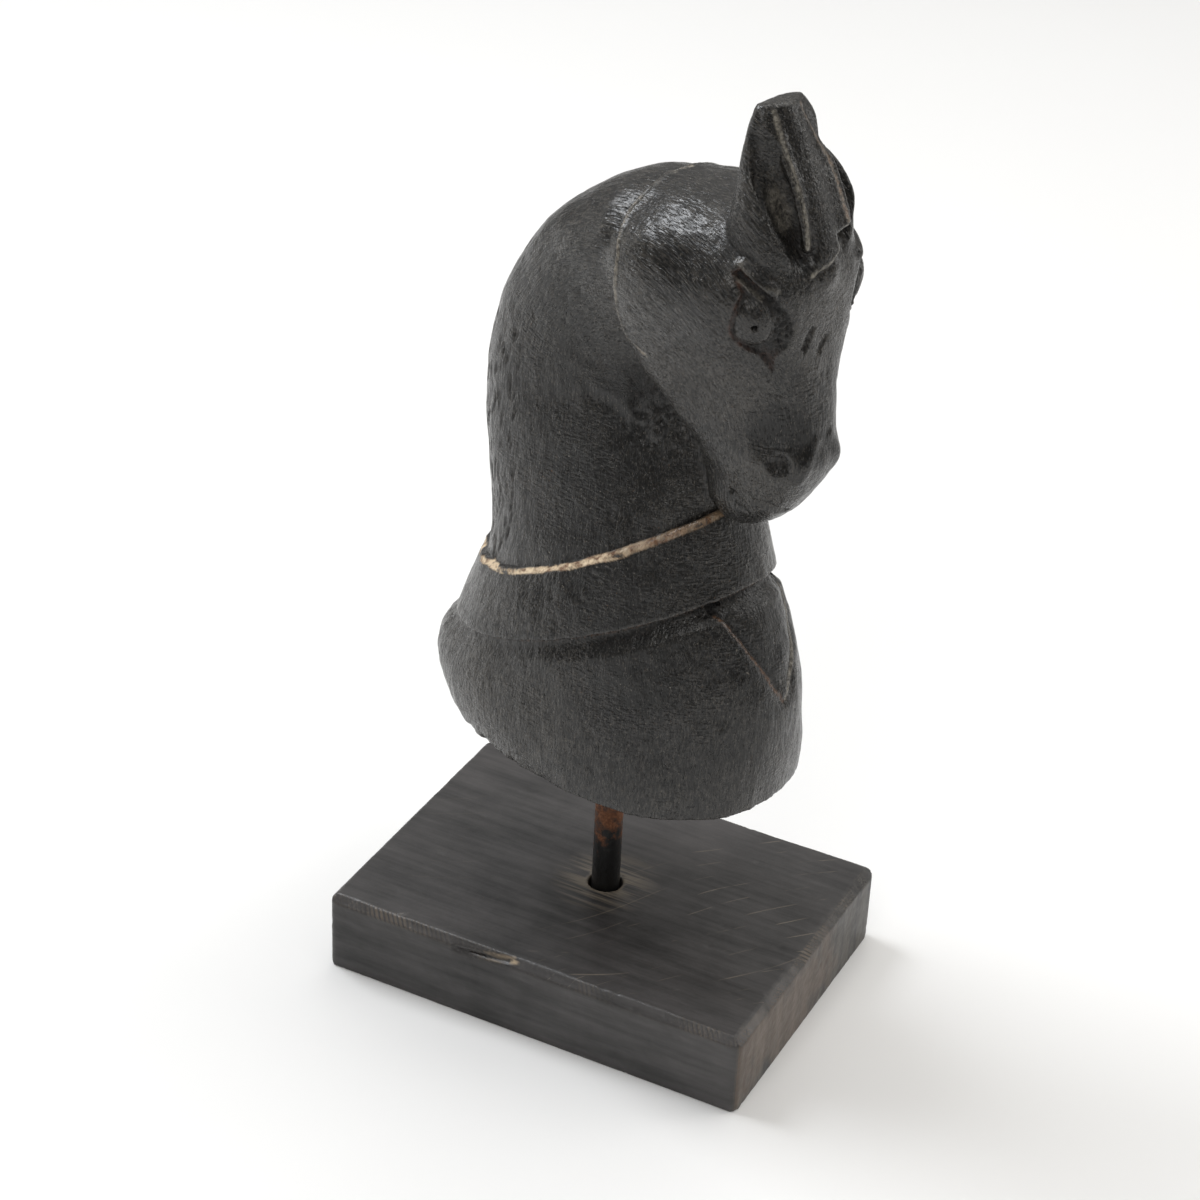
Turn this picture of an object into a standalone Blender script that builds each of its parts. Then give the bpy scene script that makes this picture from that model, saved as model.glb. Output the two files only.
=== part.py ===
# Carved wooden horse head on a steel rod and a wooden base block.
# Metres, +Z up. The origin is the middle of the underside of the base block, +X runs along
# the block's long side, the way the horse faces.

import bpy
import bmesh
from math import cos, copysign, pi, radians, sin
from mathutils import Matrix, Vector
from mathutils.bvhtree import BVHTree

# Base block: a piece of board with a drilled hole
BASE_LENGTH = 0.126
BASE_WIDTH = 0.090
BASE_THICKNESS = 0.024
BASE_CORNER_RADIUS = 0.0018
BASE_EDGE_CHAMFER = 0.0015
BASE_HOLE_DEPTH = 0.018
BASE_HOLE_CLEARANCE = 0.0008

# Rod: it stands in the base hole and ends in a socket of the bust
ROD_DIAMETER = 0.008
ROD_FREE_LENGTH = 0.055
ROD_END_CHAMFER = 0.0005
BUST_SOCKET_DEPTH = 0.035
BUST_SOCKET_CLEARANCE = 0.0003
END_CLEARANCE = 0.0003

# Bust: the carving is drawn DRAWN_HEIGHT units high, from its flat cut to the tips of its ears
BUST_HEIGHT = 0.193
BUST_TURN = radians(-15)
DRAWN_HEIGHT = 193.0
BAND_RISE = 1.5
UNIT = BUST_HEIGHT / DRAWN_HEIGHT

BASE_HOLE_RADIUS = ROD_DIAMETER / 2 + BASE_HOLE_CLEARANCE
BUST_SOCKET_RADIUS = ROD_DIAMETER / 2 + BUST_SOCKET_CLEARANCE
ROD_FOOT = BASE_THICKNESS - BASE_HOLE_DEPTH + END_CLEARANCE
BUST_FOOT = BASE_THICKNESS + ROD_FREE_LENGTH
ROD_LENGTH = BUST_FOOT + BUST_SOCKET_DEPTH - END_CLEARANCE - ROD_FOOT

ROD_SIDES = 32
BODY_SIDES = 44
HEAD_SIDES = 40
EAR_SIDES = 24
EYE_STEPS = 20
HOLLOW_SIDES = 16
HOLLOW_RINGS = 12
CHEST_STEPS = 3
SPAN_STEPS = 2
BASE_CORNER_STEPS = 4
BASE_EDGE_STEPS = 2
SMOOTH_ANGLE = radians(40)
SLIVER = 0.00001

# Each station of a loft is one slice, square to the horse's middle plane:
# back x, back z, front x, front z, half-width at the back, half-width at the front, squareness
CHEST = (
    (-47.5, 0, 54, 0, 35, 36, 2.3),
    (-52, 8, 55, 7, 37, 36, 2.3),
    (-54, 15, 56, 18, 38, 34, 2.2),
    (-51, 21, 55, 34, 37, 32, 2.1),
    (-46, 26, 46, 58, 34, 30, 2.1),
    (-36, 34, 36, 68, 28, 26, 2.1),
)
COLLAR = (
    (-48, 25.5, 44, 61.5, 36.5, 32, 2.1),
    (-45, 34.5, 41, 72, 33.5, 30, 2.1),
    (-42, 43.5, 38, 82.5, 30.5, 27, 2.1),
)
NECK = (
    (-38, 34, 34, 72, 28, 26, 2.1),
    (-38.5, 50, 35, 86, 28, 22, 2.1),
    (-40, 66, 35, 92, 28, 18, 2.1),
    (-42, 84, 33, 100, 28, 15, 2.1),
    (-42, 102, 30, 108, 27, 13, 2.1),
    (-38, 120, 27, 114, 26, 13, 2.1),
    (-29, 137, 25, 118, 25.5, 14, 2.1),
    (-16, 151, 25, 122, 25.5, 16, 2.1),
    (0, 161, 28, 126, 25.5, 18, 2.1),
    (16, 165, 34, 130, 25, 21, 2.1),
)
HEAD = (
    (22, 166, 46, 165, 9, 9, 2.2),
    (14, 164, 53, 162, 17, 15, 2.3),
    (8, 159, 56, 157, 23, 21, 2.9),
    (4, 152, 59, 150, 27, 25, 3.4),
    (4, 143, 59, 141, 28, 23.5, 3.4),
    (6, 134, 59, 132, 28, 18, 3.0),
    (9, 127, 60, 124, 26.5, 13.5, 2.9),
    (14, 119, 61, 116, 24, 11.5, 2.8),
    (21, 111, 62, 109, 19.5, 11.5, 2.8),
    (27, 103, 63, 104, 15.5, 12.5, 2.8),
    (30, 95, 59, 95, 12.5, 11, 2.6),
    (31, 88, 54, 88, 11, 9, 2.5),
    (35, 83, 48, 83, 8, 7, 2.3),
)
EARS = (
    (34, 146, 57, 146, 17, 17, 2.5),
    (36, 158, 57.5, 155, 17, 17.5, 2.9),
    (37, 168, 56, 165, 15.5, 17, 3.1),
    (38, 178, 52.5, 177, 13, 13.5, 3.0),
    (39, 187, 47.5, 188, 10.5, 8.5, 2.6),
    (40, 192, 45, 193, 8, 6, 2.4),
)
FORELOCK = (
    (45, 149.3, 60, 149.3, 3, 2, 2.4),
    (45, 152, 60.8, 152, 6, 5, 2.4),
    (45, 158, 60.3, 158, 8, 6.5, 2.4),
    (42, 167, 57.5, 166, 8, 6.5, 2.4),
    (41, 179, 53, 178, 7, 5.5, 2.4),
    (41, 192, 46.5, 193, 5, 4.5, 2.4),
)
EAR_LEAN = 3
EAR_LEAN_FOOT = 150

# Hollows: centre, radii and lean of the long axis, for the left side; the right one mirrors it
EAR_HOLLOW = ((52, 9.5, 173), (5, 5.6, 21), (-10, 22))
NOSTRIL = ((58, 12, 105), (3.6, 2.2, 4.2), (0, -15))

# Grooves: points across and up in a view of the shell from a bearing off the front,
# with the V-tool's radius. They are thrown onto the shell from there, on both sides.
EYE_BEARING = 47
EYE_CENTRE = (27, 144)
EYE_RADIUS = 7.2
EYE_RING_RADIUS = 1.1
PUPIL = (25.1, 144)
PUPIL_RADIUS = 1.2
BROW_GROOVE = ((21.5, 154.8), (25, 153.2), (29, 151.2), (32, 147.5), (33.5, 142))
TEAR_GROOVE = ((29, 137.5), (30.5, 133.5), (31.5, 130.5))
MOUTH_BEARING = 50
MOUTH_GROOVE = ((26, 93.5), (28.5, 90.5), (32, 88), (37, 86.5), (39.5, 86))
CHEST_BEARING = 0
CHEST_GROOVE = ((-16.2, 60.4), (-13.5, 54), (-10, 47), (-6, 39), (-1.8, 30.5))
CHEST_GROOVE_SHIFT = 3.5
GROOVE_RADIUS = 1.2
GROOVE_SINK = 0.3
MOUTH_RADIUS = 0.7


def material(name, color, roughness, metallic):
    made = bpy.data.materials.new(name)
    made.use_nodes = True
    shader = made.node_tree.nodes["Principled BSDF"]
    shader.inputs["Base Color"].default_value = (*color, 1.0)
    shader.inputs["Roughness"].default_value = roughness
    shader.inputs["Metallic"].default_value = metallic
    return made


def mesh_object(name, bm, finish=None):
    mesh = bpy.data.meshes.new(name)
    bm.normal_update()
    bm.to_mesh(mesh)
    bm.free()
    made = bpy.data.objects.new(name, mesh)
    bpy.context.scene.collection.objects.link(made)
    if finish:
        mesh.materials.append(finish)
    return made


def guide(made):
    made.hide_render = True
    made.display_type = "WIRE"
    return made


def boolean(target, tool, operation):
    cut = target.modifiers.new(tool.name, "BOOLEAN")
    cut.object = tool
    cut.operation = operation
    cut.solver = "EXACT"
    return cut


def refine(rows, steps):
    # A Catmull-Rom curve through the rows of a table, with a number of steps in each span
    padded = (rows[0],) + tuple(rows) + (rows[-1],)
    fine = []
    for a, b, c, d in zip(padded, padded[1:], padded[2:], padded[3:]):
        for step in range(steps):
            t = step / steps
            fine.append([
                (2 * q + (r - p) * t + (2 * p - 5 * q + 4 * r - s) * t ** 2
                 + (3 * q - p - 3 * r + s) * t ** 3) / 2
                for p, q, r, s in zip(a, b, c, d)
            ])
    return fine + [list(rows[-1])]


def section(station, sides, rise):
    # One slice: a rounded, egg-shaped outline between its back and front points
    back_x, back_z, front_x, front_z, wide_back, wide_front, squareness = station
    outline = []
    for side in range(sides):
        turn = 2 * pi * side / sides
        along = copysign(abs(cos(turn)) ** (2 / squareness), cos(turn))
        across = copysign(abs(sin(turn)) ** (2 / squareness), sin(turn))
        share = (along + 1) / 2
        width = wide_back + (wide_front - wide_back) * share
        outline.append(Vector((
            back_x + (front_x - back_x) * share,
            across * width,
            back_z + (front_z - back_z) * share ** rise,
        )) * UNIT)
    return outline


def loft(name, stations, sides, rise=1.0):
    # A closed solid through its slices, with a flat face at each end
    bm = bmesh.new()
    rings = []
    for number, station in enumerate(stations):
        is_end = number in (0, len(stations) - 1)
        ring = bmesh.ops.create_circle(bm, cap_ends=is_end, segments=sides, radius=1.0)["verts"]
        for vert, point in zip(ring, section(station, sides, rise)):
            vert.co = point
        rings.append(list(dict.fromkeys(edge for vert in ring for edge in vert.link_edges)))
    for lower, upper in zip(rings, rings[1:]):
        bmesh.ops.bridge_loops(bm, edges=lower + upper)
    bmesh.ops.poke(bm, faces=[face for face in bm.faces if len(face.verts) == sides])
    bmesh.ops.triangulate(bm, faces=bm.faces)
    bmesh.ops.recalc_face_normals(bm, faces=bm.faces)
    return guide(mesh_object(name, bm))


def cylinder(name, radius, foot, length, chamfer=0.0, finish=None):
    bm = bmesh.new()
    bmesh.ops.create_cone(bm, cap_ends=True, segments=ROD_SIDES, radius1=radius,
                          radius2=radius, depth=length)
    bmesh.ops.translate(bm, verts=bm.verts, vec=(0, 0, foot + length / 2))
    if chamfer:
        rims = [edge for edge in bm.edges if abs(edge.verts[0].co.z - edge.verts[1].co.z) < chamfer]
        bmesh.ops.bevel(bm, geom=rims, offset=chamfer, segments=1, affect="EDGES")
    return mesh_object(name, bm, finish)


def hollow(name, centre, radii, lean, side):
    # An ellipsoid whose long axis leans forwards and outwards by the two angles, in degrees
    bm = bmesh.new()
    bmesh.ops.create_uvsphere(bm, u_segments=HOLLOW_SIDES, v_segments=HOLLOW_RINGS, radius=1.0)
    bmesh.ops.scale(bm, verts=bm.verts, vec=Vector(radii) * UNIT)
    turn = Matrix.Rotation(radians(lean[0] * side), 3, "X") @ Matrix.Rotation(radians(-lean[1]), 3, "Y")
    bmesh.ops.rotate(bm, verts=bm.verts, cent=(0, 0, 0), matrix=turn)
    x, y, z = centre
    bmesh.ops.translate(bm, verts=bm.verts, vec=Vector((x, side * y, z)) * UNIT)
    return guide(mesh_object(name, bm))


def pupil(name, centre):
    bm = bmesh.new()
    bmesh.ops.create_uvsphere(bm, u_segments=HOLLOW_SIDES, v_segments=HOLLOW_RINGS,
                              radius=PUPIL_RADIUS * UNIT)
    bmesh.ops.translate(bm, verts=bm.verts, vec=centre)
    return guide(mesh_object(name, bm))


def thrown(shell, points, bearing, side):
    # The points of a view from a bearing, dropped onto the shell and a little below its skin
    bm = bmesh.new()
    bm.from_mesh(shell.data)
    tree = BVHTree.FromBMesh(bm)
    bm.free()
    turn = radians(bearing)
    toward = Vector((-cos(turn), sin(turn), 0))
    right = Vector((sin(turn), cos(turn), 0))
    landed = []
    for across, up in points:
        start = (right * across + Vector((0, 0, up))) * UNIT - toward * BUST_HEIGHT
        spot = tree.ray_cast(start, toward)[0] + toward * GROOVE_SINK * UNIT
        landed.append(Vector((spot.x, spot.y * -side, spot.z)))
    return landed


def groove(name, points, radius, closed=False):
    # A round bar along the points, to be cut away
    curve = bpy.data.curves.new(name, "CURVE")
    curve.dimensions = "3D"
    curve.bevel_depth = radius * UNIT
    curve.bevel_resolution = 1
    curve.use_fill_caps = True
    spline = curve.splines.new("POLY")
    spline.points.add(len(points) - 1)
    for knot, point in zip(spline.points, points):
        knot.co = (*point, 1.0)
    spline.use_cyclic_u = closed
    holder = bpy.data.objects.new(name + "_path", curve)
    bm = bmesh.new()
    bm.from_mesh(bpy.data.meshes.new_from_object(holder))
    bpy.data.objects.remove(holder)
    bmesh.ops.remove_doubles(bm, verts=bm.verts, dist=SLIVER)
    bmesh.ops.recalc_face_normals(bm, faces=bm.faces)
    return guide(mesh_object(name, bm))


def eye_ring():
    across, up = EYE_CENTRE
    turns = [2 * pi * step / EYE_STEPS for step in range(EYE_STEPS)]
    return [(across + EYE_RADIUS * cos(turn), up + EYE_RADIUS * sin(turn)) for turn in turns]


def chest_groove():
    # A V across the breast, from the right shoulder down to its tip and up to the left one
    right = refine(CHEST_GROOVE, SPAN_STEPS)
    left = [(-across, up) for across, up in reversed(right)]
    return [(across + CHEST_GROOVE_SHIFT, up) for across, up in right + left]


def lean_sideways(shell):
    for vert in shell.data.vertices:
        vert.co.y -= EAR_LEAN / (DRAWN_HEIGHT - EAR_LEAN_FOOT) * max(vert.co.z - EAR_LEAN_FOOT * UNIT, 0)
    return shell


def build_bust(finish):
    bust = loft("bust", refine(CHEST, CHEST_STEPS), BODY_SIDES)
    bust.hide_render = False
    bust.display_type = "TEXTURED"
    bust.data.materials.append(finish)
    collar = loft("collar_loft", COLLAR, BODY_SIDES, BAND_RISE)
    neck = loft("neck_loft", refine(NECK, SPAN_STEPS), BODY_SIDES)
    head = loft("head_loft", refine(HEAD, SPAN_STEPS), HEAD_SIDES)
    ears = loft("ears_loft", refine(EARS, SPAN_STEPS), EAR_SIDES)
    forelock = loft("forelock_loft", refine(FORELOCK, SPAN_STEPS), EAR_SIDES)
    lean_sideways(ears)
    lean_sideways(forelock)

    # The V of the breast is cut first, because its arms run up under the collar
    breast = groove("chest_groove", thrown(bust, chest_groove(), CHEST_BEARING, -1), GROOVE_RADIUS)
    boolean(bust, breast, "DIFFERENCE")
    cuts = [guide(cylinder("socket_cutter", BUST_SOCKET_RADIUS, -BUST_SOCKET_DEPTH, 2 * BUST_SOCKET_DEPTH))]
    brow_line = refine(BROW_GROOVE, SPAN_STEPS)
    mouth_line = refine(MOUTH_GROOVE, SPAN_STEPS)
    for name, side in (("left", 1), ("right", -1)):
        cuts += [
            lean_sideways(hollow(f"ear_hollow_{name}", *EAR_HOLLOW, side)),
            hollow(f"nostril_{name}", *NOSTRIL, side),
            pupil(f"pupil_{name}", thrown(head, (PUPIL,), EYE_BEARING, side)[0]),
            groove(f"eye_ring_{name}", thrown(head, eye_ring(), EYE_BEARING, side), EYE_RING_RADIUS, True),
            groove(f"brow_{name}", thrown(head, brow_line, EYE_BEARING, side), GROOVE_RADIUS),
            groove(f"tear_{name}", thrown(head, TEAR_GROOVE, EYE_BEARING, side), GROOVE_RADIUS),
            groove(f"mouth_{name}", thrown(head, mouth_line, MOUTH_BEARING, side), MOUTH_RADIUS),
        ]
    added = (collar, neck, head, ears, forelock)
    for tool in added:
        boolean(bust, tool, "UNION")
    for tool in cuts:
        boolean(bust, tool, "DIFFERENCE")
    clean = bust.modifiers.new("clean_slivers", "WELD")
    clean.merge_threshold = SLIVER
    bust.modifiers.new("flat_faces", "TRIANGULATE")
    for piece in (bust, breast, *added, *cuts):
        piece.location = (0, 0, BUST_FOOT)
        piece.rotation_euler = (0, 0, BUST_TURN)


def build_rod(finish):
    rod = cylinder("rod", ROD_DIAMETER / 2, ROD_FOOT, ROD_LENGTH, ROD_END_CHAMFER, finish)
    rod.data.shade_smooth()
    rod.data.set_sharp_from_angle(angle=SMOOTH_ANGLE)


def build_base(finish):
    middle = BASE_THICKNESS / 2
    bm = bmesh.new()
    bmesh.ops.create_cube(bm, size=1.0)
    bmesh.ops.scale(bm, verts=bm.verts, vec=(BASE_LENGTH, BASE_WIDTH, BASE_THICKNESS))
    bmesh.ops.translate(bm, verts=bm.verts, vec=(0, 0, middle))
    upright = [edge for edge in bm.edges if abs(edge.verts[0].co.z - edge.verts[1].co.z) > middle]
    bmesh.ops.bevel(bm, geom=upright, offset=BASE_CORNER_RADIUS, segments=BASE_CORNER_STEPS,
                     profile=0.5, affect="EDGES")
    rim = [edge for edge in bm.edges if all(vert.co.z > middle for vert in edge.verts)]
    bmesh.ops.bevel(bm, geom=rim, offset=BASE_EDGE_CHAMFER, segments=BASE_EDGE_STEPS,
                     profile=0.5, affect="EDGES")
    base = mesh_object("base_block", bm, finish)
    hole = guide(cylinder("base_hole_cutter", BASE_HOLE_RADIUS, BASE_THICKNESS - BASE_HOLE_DEPTH,
                          2 * BASE_HOLE_DEPTH))
    boolean(base, hole, "DIFFERENCE")


for old in list(bpy.data.objects):
    bpy.data.objects.remove(old, do_unlink=True)

ebonised = material("ebonised_wood", (0.035, 0.034, 0.036), 0.45, 0.0)
rusty = material("rusty_steel", (0.12, 0.06, 0.035), 0.7, 0.6)

build_base(ebonised)
build_rod(rusty)
build_bust(ebonised)
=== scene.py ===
# Carved wooden horse head on its rod and base block: finish, wear and tool marks.
import math
import random

import bmesh
import bpy
import numpy as np
from mathutils import Matrix, Vector, kdtree, noise


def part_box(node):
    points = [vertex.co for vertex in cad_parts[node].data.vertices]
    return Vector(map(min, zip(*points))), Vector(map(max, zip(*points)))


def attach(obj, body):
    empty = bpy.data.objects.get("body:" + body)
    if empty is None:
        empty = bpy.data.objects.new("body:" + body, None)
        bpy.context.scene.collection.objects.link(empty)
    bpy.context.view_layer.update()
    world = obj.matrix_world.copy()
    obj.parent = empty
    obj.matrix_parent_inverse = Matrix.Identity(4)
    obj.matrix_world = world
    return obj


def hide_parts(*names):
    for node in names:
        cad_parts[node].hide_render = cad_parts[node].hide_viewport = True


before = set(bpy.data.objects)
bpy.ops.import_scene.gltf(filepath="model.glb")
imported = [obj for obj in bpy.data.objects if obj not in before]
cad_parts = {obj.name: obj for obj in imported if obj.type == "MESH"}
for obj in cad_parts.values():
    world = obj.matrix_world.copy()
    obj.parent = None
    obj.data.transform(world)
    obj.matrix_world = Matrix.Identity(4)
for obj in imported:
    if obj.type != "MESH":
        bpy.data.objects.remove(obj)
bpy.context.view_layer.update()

mm = 0.001


# Mesh helpers

def closedMesh(nodeName):
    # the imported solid's loose triangles, joined into one skin
    bm = bmesh.new()
    bm.from_mesh(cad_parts[nodeName].data)
    bmesh.ops.remove_doubles(bm, verts=bm.verts, dist=0.002 * mm)
    return bm


def addObject(name, data):
    added = bpy.data.objects.new(name, data)
    bpy.context.scene.collection.objects.link(added)
    return added


def pieceFrom(bm, name):
    mesh = bpy.data.meshes.new(name)
    bm.to_mesh(mesh)
    bm.free()
    return addObject(name, mesh)


def modified(piece, kind, **settings):
    # the mesh that a modifier makes of the piece
    modifier = piece.modifiers.new(kind.lower(), kind)
    for key, value in settings.items():
        setattr(modifier, key, value)
    ready = piece.evaluated_get(bpy.context.evaluated_depsgraph_get())
    mesh = bpy.data.meshes.new_from_object(ready)
    piece.modifiers.clear()
    return mesh


def remake(piece, kind, **settings):
    piece.data = modified(piece, kind, **settings)
    piece.data.shade_smooth()


def readArray(mesh, kind="co"):
    source = mesh.vertices if kind == "co" else mesh.vertex_normals
    flat = np.zeros(len(mesh.vertices) * 3, np.float32)
    source.foreach_get("co" if kind == "co" else "vector", flat)
    return flat.reshape(-1, 3).astype(float)


def writeArray(mesh, points):
    mesh.vertices.foreach_set("co", points.astype(np.float32).ravel())
    mesh.update()


def storeLayers(piece, layers):
    # one number or one vector for each vertex, which a material can read
    for name, values in layers.items():
        kind, field = ("FLOAT", "value") if values.ndim == 1 else ("FLOAT_VECTOR", "vector")
        layer = piece.data.attributes.new(name, kind, "POINT")
        layer.data.foreach_set(field, values.astype(np.float32).ravel())


def sink(points, normals, depth, near=slice(None)):
    # moves all vertices inwards, or those near something
    points[near] -= normals[near] * depth[:, None]


def treeOf(points):
    tree = kdtree.KDTree(len(points))
    for number, point in enumerate(points.tolist()):
        tree.insert(point, number)
    tree.balance()
    return tree


def ease(values, low, high):
    share = np.clip((values - low) / (high - low), 0, 1)
    return share * share * (3 - 2 * share)


def roughField(points, seed, stretch):
    # smooth noise from -1 to 1 at each point; stretch is how many bumps there are in a unit
    return np.array([noise.noise(point) for point in (points * stretch + seed * 17.3).tolist()])


def cellField(points, seed, stretch):
    # 0 in the middle of each scoop, rising to its rim
    return np.array([noise.voronoi(point)[0][0] for point in (points * stretch + seed * 11.7).tolist()])


def gapTo(points, spot, side=1, stretch=1):
    # distance to a spot, or with side -1 to its twin on the far side
    return np.linalg.norm((points - np.array(spot) * (1, side, 1)) * stretch, axis=1)


def raiseTo(layer, near, values):
    layer[near] = np.maximum(layer[near], values)


def bulge(piece, iterations):
    # how far each vertex stands proud (+) or lies in a hollow (-), in millimetres
    smooth = readArray(modified(piece, "SMOOTH", factor=0.5, iterations=iterations))
    return ((readArray(piece.data) - smooth) * readArray(piece.data, "normal")).sum(1) / mm


# Lines drawn on the carving

def smoothLine(points, step=0.5):
    knots = [Vector(point) for point in points]
    padded = [knots[0]] + knots + [knots[-1]]
    line = []
    for a, b, c, d in zip(padded, padded[1:], padded[2:], padded[3:]):
        count = max(1, int((c - b).length / step))
        for number in range(count):
            t = number / count
            line.append((2 * b + (c - a) * t + (2 * a - 5 * b + 4 * c - d) * t * t
                         + (3 * b - a - 3 * c + d) * t ** 3) / 2)
    return line + [knots[-1]]


def onSkin(tree, points, side=1):
    # the line laid on the carving; side -1 lays it on the far side
    laid = np.array([tree.find((x, y * side, z))[0] for x, y, z in smoothLine(points)])
    padded = np.concatenate([laid[:1]] * 3 + [laid] + [laid[-1:]] * 3)
    return sum(padded[start:start + len(laid)] for start in range(7)) / 7


def alongLine(points, normals, line, reach):
    # the vertices near a line: number, distance, signed distance to its left, share of its length
    low = line.min(0) - reach
    high = line.max(0) + reach
    near = np.where(((points > low) & (points < high)).all(1))[0]
    spots = points[near]
    best = np.full(len(near), reach * 9.0)
    offset = np.zeros((len(near), 3))
    tangent = np.zeros((len(near), 3))
    share = np.zeros(len(near))
    for number, (a, b) in enumerate(zip(line, line[1:])):
        run = b - a
        length = np.linalg.norm(run)
        if length < 0.001:
            continue
        t = np.clip((spots - a) @ run / length ** 2, 0, 1)
        gap = spots - (a + t[:, None] * run)
        distance = np.linalg.norm(gap, axis=1)
        closer = distance < best
        best[closer] = distance[closer]
        offset[closer] = gap[closer]
        tangent[closer] = run / length
        share[closer] = (number + t[closer]) / (len(line) - 1)
    side = (np.cross(normals[near], tangent) * offset).sum(1)
    # on the thin ears only the front is cut
    backOfEar = (spots[:, 2] > 160) & (spots[:, 0] > 36) & (normals[near, 0] < 0)
    keep = (best < reach) & ~backOfEar
    return near[keep], best[keep], side[keep], share[keep]


def endFade(share):
    return ease(np.minimum(share, 1 - share), 0, 0.16)


def cutLine(points, normals, line, width, depth, sharp=1.0):
    # a groove, or a ridge where the depth is negative; fades out at both ends
    near, distance, side, share = alongLine(points, normals, line, width)
    profile = (1 - (distance / width) ** (2 / sharp)) ** (1 + sharp)
    sink(points, normals, depth * profile * endFade(share), near)


def cutStep(points, normals, line, reach, depth, toLeft, edge=0.45):
    # lowers the skin on one side of a line, up to a crisp edge, and fades out at reach
    near, distance, side, share = alongLine(points, normals, line, reach)
    profile = ease(side * toLeft, -edge, edge) * (1 - distance / reach) ** 1.5
    sink(points, normals, depth * profile * endFade(share), near)


def pressPit(points, normals, centre, radius, depth):
    # a round dent
    gap = gapTo(points, centre)
    near = np.where(gap < radius)[0]
    sink(points, normals, depth * (1 - (gap[near] / radius) ** 2) ** 1.5, near)


# Material helpers

def startMaterial(name):
    material = bpy.data.materials.new(name)
    material.use_nodes = True
    return material, material.node_tree, material.node_tree.nodes["Principled BSDF"]


def addNode(tree, kind, inputs=None, **settings):
    node = tree.nodes.new(kind)
    for key, value in settings.items():
        setattr(node, key, value)
    for key, value in (inputs or {}).items():
        plug(node.inputs[key], value)
    return node


def plug(socket, value):
    # a link, a colour or a plain number
    if isinstance(value, bpy.types.NodeSocket):
        socket.id_data.links.new(value, socket)
    else:
        socket.default_value = (*value, 1.0) if socket.type == "RGBA" else value


def attribute(tree, name, output="Fac"):
    return addNode(tree, "ShaderNodeAttribute", attribute_name=name).outputs[output]


def objectPlace(tree):
    return addNode(tree, "ShaderNodeTexCoord").outputs["Object"]


def partOf(vector, axis):
    return addNode(vector.id_data, "ShaderNodeSeparateXYZ", {"Vector": vector}).outputs[axis]


def measure(operation, first, second=(0, 0, 0)):
    # one number from two vectors
    inputs = {0: first, 1: second}
    node = addNode(first.id_data, "ShaderNodeVectorMath", inputs, operation=operation)
    return node.outputs["Value"]


def blendColor(share, first, second):
    inputs = {0: share, 6: first, 7: second}
    return addNode(share.id_data, "ShaderNodeMix", inputs, data_type="RGBA").outputs[2]


def layered(color, layers):
    # paints the layers over a colour, each with its share
    for share, tone in layers:
        color = blendColor(share, color, tone)
    return color


def calculate(operation, first, second=0.0, clamp=False):
    inputs = {0: first, 1: second}
    node = addNode(first.id_data, "ShaderNodeMath", inputs, operation=operation, use_clamp=clamp)
    return node.outputs[0]


def times(first, second):
    return calculate("MULTIPLY", first, second)


def plus(first, second, clamp=False):
    return calculate("ADD", first, second, clamp)


def remap(value, low, high, first=0.0, last=1.0):
    node = addNode(value.id_data, "ShaderNodeMapRange", {
        "Value": value, "From Min": low, "From Max": high, "To Min": first, "To Max": last})
    return node.outputs["Result"]


def stretched(source, scale, turn=(0, 0, 0)):
    inputs = {"Vector": source, "Scale": scale, "Rotation": turn}
    return addNode(source.id_data, "ShaderNodeMapping", inputs).outputs["Vector"]


def noiseOf(vector, scale, detail, roughness):
    inputs = {"Vector": vector, "Scale": scale, "Detail": detail, "Roughness": roughness}
    return addNode(vector.id_data, "ShaderNodeTexNoise", inputs).outputs["Fac"]


def drawnNoise(source, scale, detail, roughness, turn=(0, 0, 0)):
    # noise drawn out along one direction
    return noiseOf(stretched(source, scale, turn), 1.0, detail, roughness)


def bumpUp(height, distance, strength, under=None):
    # a bump over the ones below it; the distance is in millimetres
    inputs = {"Height": height, "Distance": distance * mm, "Strength": strength}
    if under:
        inputs["Normal"] = under
    return addNode(height.id_data, "ShaderNodeBump", inputs).outputs["Normal"]


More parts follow.
